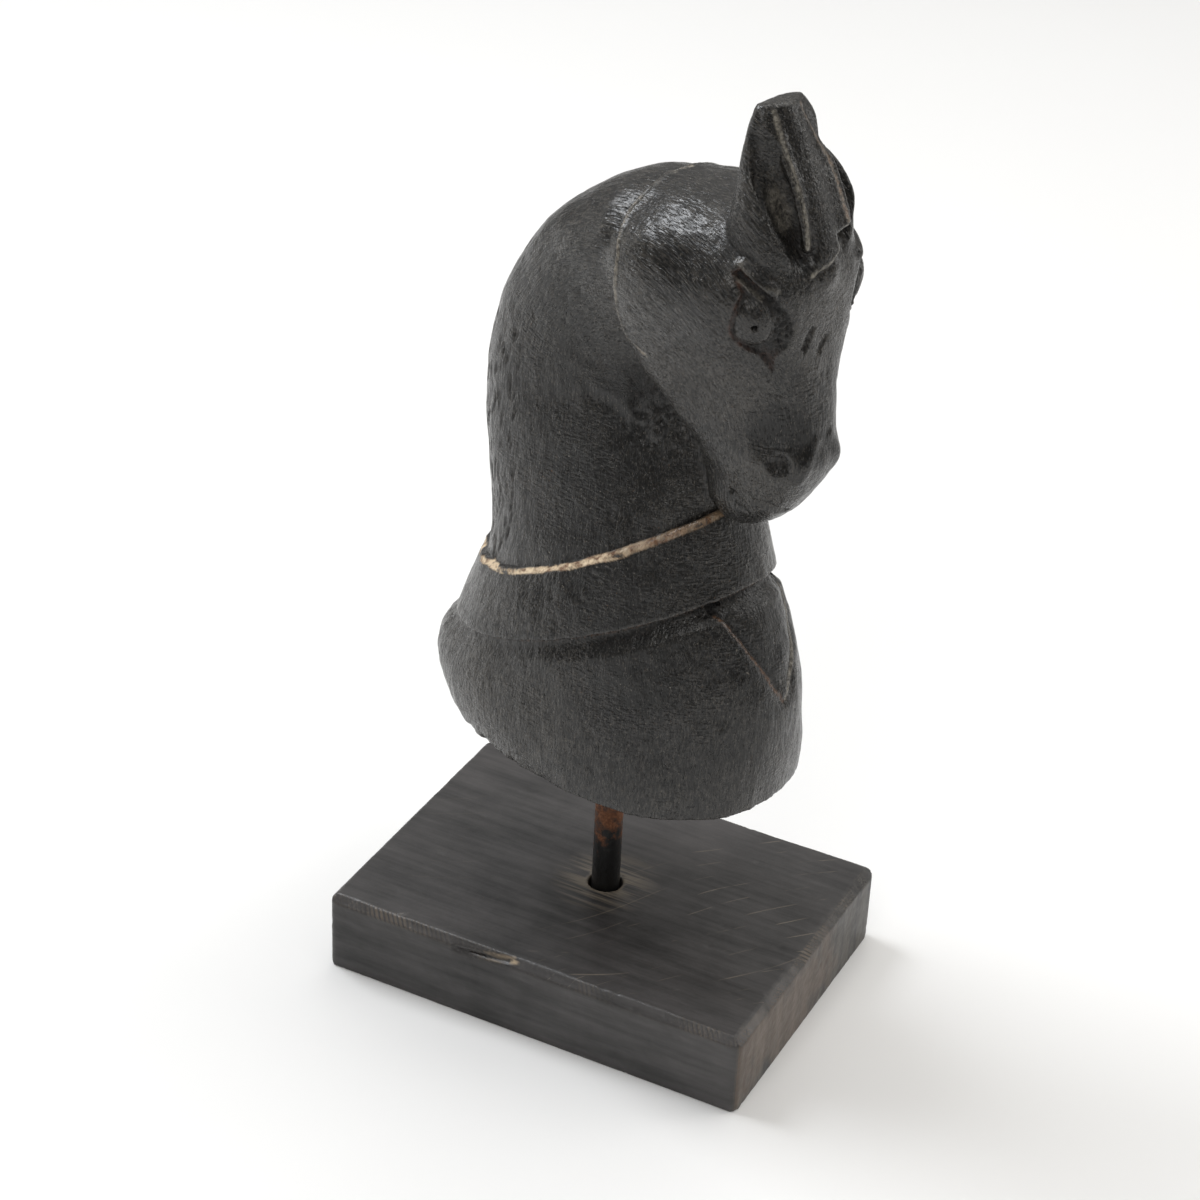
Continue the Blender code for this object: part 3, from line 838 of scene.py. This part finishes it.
def horseWood():
    material, tree, shader = startMaterial("ebonisedHorseWood")
    place = objectPlace(tree)
    flow = attribute(tree, "flow", "Vector")
    sunk, shade, bare, pale, eyeRawShade = [
        attribute(tree, name) for name in ("sunk", "shade", "bare", "pale", "eyeRawShade")]
    patch = noiseOf(place, 60, 4, 0.55)
    rag = noiseOf(place, 900, 4, 0.65)
    grains = noiseOf(place, 1250, 2, 0.5)
    worked = noiseOf(place, 420, 4, 0.6)
    streak = drawnNoise(flow, (0.45, 1.9, 1.9), 6, 0.68)
    fine = drawnNoise(flow, (1.1, 3.4, 3.4), 3, 0.6)
    ripple = drawnNoise(flow, (1.5, 0.55, 0.55), 2, 0.5, (0.3, 0.2, 0.5))

    # the tone runs from the stain to the rubbed colour; the shade layer in it is random tone with painted
    # shade and painted light
    tone = plus(remap(streak, 0.38, 0.64, -0.7, 0.6), remap(shade, 0, 1, -0.15, 0.65))
    tone = plus(tone, remap(patch, 0.3, 0.7, -0.25, 0.2), True)
    flecks = times(remap(fine, 0.58, 0.66), remap(rag, 0.45, 0.58))
    layers = (
        (times(flecks, 0.45), horse["fleckAndGlint"]),
        # painted glints: fine pale specks, most where the skin is painted darker
        (times(remap(grains, 0.7, 0.76), remap(shade, 0.2, 0.7, 0.7, 0.1)), horse["fleckAndGlint"]),
        (times(sunk, remap(rag, 0.45, 0.62, 0, 0.5)), horse["brownDust"]),
        # painted shade: hollows and creases darkened to the stain
        (times(sunk, 0.7), horse["stain"]),
        (times(attribute(tree, "proud"), remap(streak, 0.4, 0.6, 0, 0.8)), horse["rubbed"]),
        # painted shade: the gap round the eyeball and the tear duct darkened to the stain
        (times(eyeRawShade, remap(rag, 0.45, 0.6, 0.9, 0.2)), horse["stain"]),
        (times(remap(rag, 0.69, 0.75), remap(patch, 0.4, 0.6, 0.1, 0.8)), horse["brownWood"]),
        # pale dust in the ears, worn pale edges, and a painted sheen along the crests
        (times(pale, remap(rag, 0.4, 0.58, 0.25, 1)), horse["paleDustAndSheen"]),
        (times(attribute(tree, "brown"), remap(rag, 0.35, 0.55, 0.2, 0.9)), horse["brownWood"]),
        (times(attribute(tree, "red"), remap(rag, 0.38, 0.6, 0.1, 0.9)), horse["redWood"]),
        (bare, blendColor(remap(worked, 0.34, 0.54), horse["brownWood"], horse["bareWood"])),
    )
    plug(shader.inputs["Base Color"], layered(blendColor(tone, horse["stain"], horse["rubbed"]), layers))

    gloss = remap(streak, 0.35, 0.65, horse["gloss"] + 0.1, horse["gloss"] - 0.05)
    gloss = plus(plus(gloss, remap(shade, 0, 1, 0.08, 0)), times(sunk, 0.25))
    gloss = plus(plus(gloss, times(bare, 0.35)), times(eyeRawShade, 0.3), True)
    plug(shader.inputs["Roughness"], gloss)

    # the bumps use few octaves, so that the skin keeps its sheen
    brushed = drawnNoise(flow, (0.35, 1.5, 1.5), 2, 0.45)
    rippled = times(remap(patch, 0.42, 0.6), remap(ripple, 0.3, 0.7))
    pores = remap(drawnNoise(flow, (0.5, 2.4, 2.4), 1, 0.4), 0.3, 0.4)
    normal = None
    for height, distance in ((brushed, 0.26), (rippled, 0.14), (fine, 0.03), (pores, 0.18)):
        normal = bumpUp(height, distance, 0.9, normal)
    rawAndShaded = plus(eyeRawShade, times(pale, 0.5), True)
    plug(shader.inputs["Normal"], bumpUp(grains, 0.3, rawAndShaded, normal))
    return material


# Base block
block = {
    "voxel": 0.7 * mm,
    "triangles": 120000,
    "chamfer": 2.0,
    "chamferSwing": 0.5,
    "raspSpacing": 1.5,
    "raspDepth": 0.34,
    "split": ((-24, -45, 21.2), (-16, -45, 22.2), (-9, -44.5, 23.2), (-5, -44, 23.6)),
    "planeDepth": 0.05,
    "dents": 150,
    "dentDepth": 0.18,
    "stain": (0.009, 0.0085, 0.008),
    "rubbed": (0.084, 0.078, 0.077),
    "worn": (0.095, 0.085, 0.075),
    "scuff": (0.24, 0.2, 0.15),
    "endLight": (0.12, 0.106, 0.088),
    "brownWood": (0.15, 0.09, 0.05),
    "chamferTone": (0.2, 0.155, 0.11),
    "bareWood": (0.52, 0.4, 0.26),
}


def raspChamfers(points, low, high):
    # an uneven chamfer, rasped across, along the top edges; narrower on the left and at the back
    for axis, sign in ((1, -1), (0, 1), (1, 1), (0, -1)):
        along = points[:, 1 - axis]
        swing = roughField(np.stack([along, along * 0 + axis * 9 + sign, along * 0], 1), 2, (0.06, 1, 1))
        wide = block["chamfer"] + block["chamferSwing"] * swing
        if (axis, sign) in ((0, -1), (1, 1)):
            wide = wide * 0.6
        edge = high[axis] if sign > 0 else low[axis]
        out = sign * (points[:, axis] - edge) + (points[:, 2] - high[2]) + wide
        teeth = (along + 0.9 * points[:, 2]) / block["raspSpacing"] + 0.5 * roughField(points, 7, 0.3)
        rasp = np.abs(teeth % 1 - 0.5) * 2
        patchy = ease(roughField(points, 12, 0.12), -0.25, 0.2)
        cut = np.clip(out, 0, None) + block["raspDepth"] * rasp * patchy * ease(out, -0.25, 0.3)
        points[:, axis] -= sign * cut / 2
        points[:, 2] -= cut / 2


def wearBlock(points, normals, split):
    # saw and plane marks on the faces, the split at the front edge, and a few dents
    planed = roughField(points, 3, (0.04, 0.5, 0.9)) + roughField(points, 4, 0.5)
    sink(points, normals, block["planeDepth"] * planed)
    cutLine(points, normals, split, 1.5, 1.9, 1.5)
    cutStep(points, normals, split, 4.0, 0.5, -1)
    dice = random.Random(5)
    tree = treeOf(points)
    for dent in range(block["dents"]):
        pick = dice.randrange(len(points))
        radius = dice.uniform(0.5, 1.3)
        for spot, number, gap in tree.find_range(points[pick], radius):
            points[number] -= normals[number] * (block["dentDepth"] * (1 - (gap / radius) ** 2))


def markBlock(piece, low, high, split):
    points = readArray(piece.data) / mm
    normals = readArray(piece.data, "normal")
    x, y, z = points.T
    rim = ease(-np.abs(np.hypot(x, y) - 5.2), -0.7, -0.2) * (z > high[2] - 1.0)
    near, distance, side, share = alongLine(points, normals, split, 3.0)
    pale = 0.8 * ease(-distance, -1.6, -0.7) * ease(share, 0.35, 0.75) * ease(distance, 0.2, 0.6)
    bare = np.zeros(len(points))
    bare[near] = pale * ease(roughField(points[near], 9, (0.5, 0.9, 0.9)), -0.35, 0.1)
    # how far each spot lies on the front and right chamfers, and a number that grows along them
    front = low[1] - y + z - high[2] + block["chamfer"]
    right = x - high[0] + z - high[2] + block["chamfer"]
    storeLayers(piece, {
        "proud": np.clip(bulge(piece, 8) * 6 - 0.15, 0, 1),
        "holeRim": rim * ease(roughField(points, 15, 0.6), -0.5, 0.1),
        "bare": bare,
        "chamfer": ease(np.maximum(front * 0.8, right), -0.2, 0.5) * (z > high[2] - 4),
        "hatch": (np.where(front > right, x, y) + 0.9 * z) / block["raspSpacing"]})


def shapeBlock():
    piece = pieceFrom(closedMesh("base_block"), "stainedBlock")
    remake(piece, "REMESH", mode="VOXEL", voxel_size=block["voxel"])
    remake(piece, "SMOOTH", factor=0.5, iterations=3)
    points = readArray(piece.data) / mm
    low, high = [np.array(corner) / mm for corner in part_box("base_block")]
    raspChamfers(points, low, high)
    writeArray(piece.data, points * mm)
    split = np.array(smoothLine(block["split"]))
    wearBlock(points, readArray(piece.data, "normal"), split)
    points[:, 2] = np.clip(points[:, 2], low[2], high[2])
    writeArray(piece.data, points * mm)
    remake(piece, "DECIMATE", ratio=block["triangles"] / (2 * len(points)))
    markBlock(piece, low, high, split)
    print("block shaped:", len(piece.data.polygons), "faces")
    return piece


def arcScratches(place, middle, spacing, seed):
    # thin curved scratches: rings about a point, broken up and thinned out
    wander = drawnNoise(place, (9, 9, 9), 2, 0.5, (seed, 0, 0))
    ringed = plus(calculate("DIVIDE", measure("DISTANCE", place, middle), spacing), times(wander, 6))
    fromRing = calculate("ABSOLUTE", calculate("SUBTRACT", calculate("FRACT", ringed), 0.5))
    broken = drawnNoise(place, (60, 60, 60), 3, 0.6, (0, seed, 0))
    sparse = drawnNoise(place, (22, 22, 22), 1, 0.5, (0, 0, seed))
    kept = times(remap(broken, 0.52, 0.62), remap(sparse, 0.44, 0.54))
    kept = times(kept, remap(partOf(place, "X"), -0.01, 0.02, 0.1, 1))
    return times(remap(fromRing, 0, 0.035, 1, 0), kept)


def blockWood():
    material, tree, shader = startMaterial("stainedBlockWood")
    place = objectPlace(tree)
    grain = drawnNoise(place, (30, 330, 330), 7, 0.62)
    brushed = drawnNoise(place, (40, 700, 60), 4, 0.6, (0, 0, 0.15))
    streak = drawnNoise(place, (60, 190, 16), 6, 0.65)
    sawn = drawnNoise(place, (40, 420, 420), 2, 0.45)
    cloud = noiseOf(place, 24, 6, 0.62)
    rag = noiseOf(place, 800, 4, 0.65)
    bare = attribute(tree, "bare")
    facing = addNode(tree, "ShaderNodeNewGeometry").outputs["True Normal"]
    upward = remap(partOf(facing, "Z"), 0.6, 0.9)
    endward = remap(partOf(facing, "X"), 0.6, 0.9)

    # scratches on the top, and a rubbed ring round the rod's hole
    fromRod = measure("LENGTH", stretched(place, (1, 1, 0)))
    aroundHole = times(remap(fromRod, 0.005, 0.016, 1, 0), remap(brushed, 0.44, 0.56))
    scratches = plus(arcScratches(place, (0.2, -0.16, 0.02), 0.006, 1),
                     arcScratches(place, (-0.13, 0.12, 0.02), 0.009, 2.4), True)
    scratches = plus(times(scratches, 0.7), times(aroundHole, 0.75), True)

    # the rasp's strokes across the chamfers
    stroke = plus(attribute(tree, "hatch"), times(noiseOf(place, 160, 2, 0.5), 0.6))
    stroke = calculate("ABSOLUTE", calculate("SUBTRACT", calculate("FRACT", stroke), 0.5))
    rasp = times(attribute(tree, "chamfer"), remap(stroke, 0.12, 0.3))

    tone = plus(remap(cloud, 0.3, 0.7, 0.1, 0.75), remap(grain, 0.3, 0.7, -0.25, 0.25), True)
    endTone = blendColor(remap(streak, 0.4, 0.62), block["stain"], block["endLight"])
    layers = (
        (times(scratches, upward), block["scuff"]),
        (times(endward, 0.75), endTone),
        (times(endward, remap(cloud, 0.52, 0.62, 0, 0.45)), block["brownWood"]),
        (times(attribute(tree, "proud"), remap(rag, 0.42, 0.6, 0, 0.5)), block["worn"]),
        (times(rasp, remap(cloud, 0.4, 0.6, 0.4, 1)), block["chamferTone"]),
        (remap(rag, 0.71, 0.76, 0, 0.4), block["brownWood"]),
        (times(attribute(tree, "holeRim"), 0.7), block["scuff"]),
        (bare, block["bareWood"]),
    )
    plug(shader.inputs["Base Color"], layered(blendColor(tone, block["stain"], block["rubbed"]), layers))
    gloss = plus(remap(grain, 0.3, 0.7, 0.5, 0.38), remap(cloud, 0.3, 0.7, 0.06, -0.06))
    plug(shader.inputs["Roughness"], plus(gloss, times(bare, 0.3), True))
    normal = bumpUp(sawn, 0.14, 0.7)
    normal = bumpUp(scratches, 0.06, 0.6, normal)
    normal = bumpUp(rasp, 0.25, 0.9, normal)
    plug(shader.inputs["Normal"], bumpUp(noiseOf(place, 700, 1, 0.4), 0.09, 0.7, normal))
    return material


# Rod
rod = {
    "sides": 72,
    "ring": 0.5 * mm,
    "pitting": 0.07,
    "rust": (0.12, 0.04, 0.016),
    "rustLight": (0.26, 0.11, 0.05),
    "black": (0.01, 0.01, 0.01),
    "rustFrom": 0.026,                 # the black paint is left below this height
}


def shapeRod():
    low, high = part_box("rod")
    radius = (high.x - low.x) / 2
    length = high.z - low.z
    bm = bmesh.new()
    bmesh.ops.create_circle(bm, cap_ends=False, segments=rod["sides"], radius=radius)
    bmesh.ops.translate(bm, verts=bm.verts, vec=(0, 0, low.z))
    edge = list(bm.edges)
    for ring in range(int(length / rod["ring"])):
        raised = bmesh.ops.extrude_edge_only(bm, edges=edge)["geom"]
        verts = [part for part in raised if isinstance(part, bmesh.types.BMVert)]
        edge = [part for part in raised if isinstance(part, bmesh.types.BMEdge)]
        bmesh.ops.translate(bm, verts=verts, vec=(0, 0, length / int(length / rod["ring"])))
    bmesh.ops.holes_fill(bm, edges=[rim for rim in bm.edges if rim.is_boundary], sides=rod["sides"])
    bmesh.ops.recalc_face_normals(bm, faces=bm.faces)
    piece = pieceFrom(bm, "rustyRod")
    points = readArray(piece.data) / mm
    out = points * (1, 1, 0)
    out /= np.maximum(np.linalg.norm(out, axis=1), 0.001)[:, None]
    pits = roughField(points, 1, (0.9, 0.9, 0.6)) + 0.6 * roughField(points, 2, (2.2, 2.2, 1.6))
    sink(points, out, rod["pitting"] * (pits + 0.9))
    writeArray(piece.data, points * mm)
    piece.data.shade_smooth()
    return piece


def rustySteel():
    material, tree, shader = startMaterial("rustyBlackSteel")
    place = objectPlace(tree)
    cloud = noiseOf(place, 260, 6, 0.65)
    fine = noiseOf(place, 1500, 4, 0.6)
    low = rod["rustFrom"]
    rusty = plus(remap(partOf(place, "Z"), low, low + 0.03, -0.28, 0.22), cloud)
    rusty = remap(rusty, 0.42, 0.6)
    rustTone = blendColor(remap(fine, 0.35, 0.65), rod["rust"], rod["rustLight"])
    plug(shader.inputs["Base Color"], blendColor(rusty, rod["black"], rustTone))
    plug(shader.inputs["Roughness"], remap(rusty, 0, 1, 0.42, 0.8))
    plug(shader.inputs["Normal"], bumpUp(cloud, 0.25, 0.8, bumpUp(fine, 0.12, 0.7)))
    return material


def dress(piece, material, node):
    piece.data.materials.clear()
    piece.data.materials.append(material)
    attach(piece, "root")
    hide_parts(node)


carvedHorse = carveHorse()
markHorse(carvedHorse)
dress(carvedHorse, horseWood(), "bust")
print("horse finished")
stainedBlock = shapeBlock()
dress(stainedBlock, blockWood(), "base_block")
rustyRod = shapeRod()
dress(rustyRod, rustySteel(), "rod")
print("block and rod finished")


# Studio: pale floor, soft lights, and the camera
studio = {
    "floorSize": 8.0,
    "floorTone": (0.88, 0.875, 0.865),
    "worldTone": (1.0, 0.99, 0.97),
    "skyAxis": (-0.1, 0.45, 0.89),     # the room is bright above and behind, dark towards the camera
    "skyDark": 0.05,
    "skyBright": 0.46,
    # name, place, aim, size, power, tone
    "softboxes": (
        ("windowSoftbox", (-0.88, 0.05, 1.35), (0, 0, 0.18), (0.6, 0.6), 14, (0.93, 0.96, 1.0)),
        ("overheadSoftbox", (0.25, 0.5, 1.6), (0.1, 0, 0), (1.6, 1.2), 12, (1.0, 0.985, 0.96)),
        ("leftSoftbox", (-1.45, -0.15, 0.45), (0, 0, 0.15), (0.8, 0.9), 2.5, (1.0, 0.985, 0.95)),
        ("frontSoftbox", (0.15, -1.5, 1.5), (0, 0, 0.12), (0.9, 0.7), 8, (1.0, 0.985, 0.96)),
        ("rightSoftbox", (1.15, 0.95, 0.7), (0, 0, 0.15), (0.6, 0.8), 4, (1.0, 0.99, 0.97)),
    ),
    "cameraPlace": (0.2940, -0.6148, 0.5329),
    "bearing": math.radians(26.0146),
    "rise": math.radians(31.4495),
    "roll": math.radians(2.8227),
    "lens": 90.58,
    "sensor": 36.0,
}


def makeFloor():
    bm = bmesh.new()
    bmesh.ops.create_grid(bm, x_segments=1, y_segments=1, size=studio["floorSize"] / 2)
    floor = pieceFrom(bm, "paleFloor")
    material, tree, shader = startMaterial("paleTable")
    soft = noiseOf(objectPlace(tree), 3, 3, 0.5)
    warm = tuple(tone * 0.97 for tone in studio["floorTone"])
    plug(shader.inputs["Base Color"], blendColor(soft, studio["floorTone"], warm))
    plug(shader.inputs["Roughness"], 0.55)
    floor.data.materials.append(material)


def addSoftbox(name, place, aim, size, power, tone):
    light = bpy.data.lights.new(name, "AREA")
    light.shape = "RECTANGLE"
    light.size, light.size_y = size
    light.energy = power
    light.color = tone
    lamp = addObject(name, light)
    lamp.location = place
    lamp.rotation_euler = (Vector(aim) - Vector(place)).to_track_quat("-Z", "Y").to_euler()


def addCamera():
    camera = bpy.data.cameras.new("camera")
    camera.lens = studio["lens"]
    camera.sensor_width = studio["sensor"]
    holder = addObject("camera", camera)
    bearing, rise, roll = studio["bearing"], studio["rise"], studio["roll"]
    back = Vector((math.sin(bearing) * math.cos(rise), -math.cos(bearing) * math.cos(rise), math.sin(rise)))
    level = Vector((math.cos(bearing), math.sin(bearing), 0))
    lift = back.cross(level)
    right = level * math.cos(roll) + lift * math.sin(roll)
    up = lift * math.cos(roll) - level * math.sin(roll)
    facing = Matrix((right, up, back)).transposed().to_4x4()
    holder.matrix_world = Matrix.Translation(studio["cameraPlace"]) @ facing
    bpy.context.scene.camera = holder


def makeSky():
    world = bpy.data.worlds.new("paleRoom")
    world.use_nodes = True
    tree = world.node_tree
    toward = addNode(tree, "ShaderNodeTexCoord").outputs["Generated"]
    height = measure("DOT_PRODUCT", toward, studio["skyAxis"])
    sky = tree.nodes["Background"]
    plug(sky.inputs["Color"], studio["worldTone"])
    plug(sky.inputs["Strength"], remap(height, 0.1, 0.8, studio["skyDark"], studio["skyBright"]))
    bpy.context.scene.world = world


makeFloor()
for softbox in studio["softboxes"]:
    addSoftbox(*softbox)
addCamera()
makeSky()
bpy.context.scene.view_settings.view_transform = "Standard"
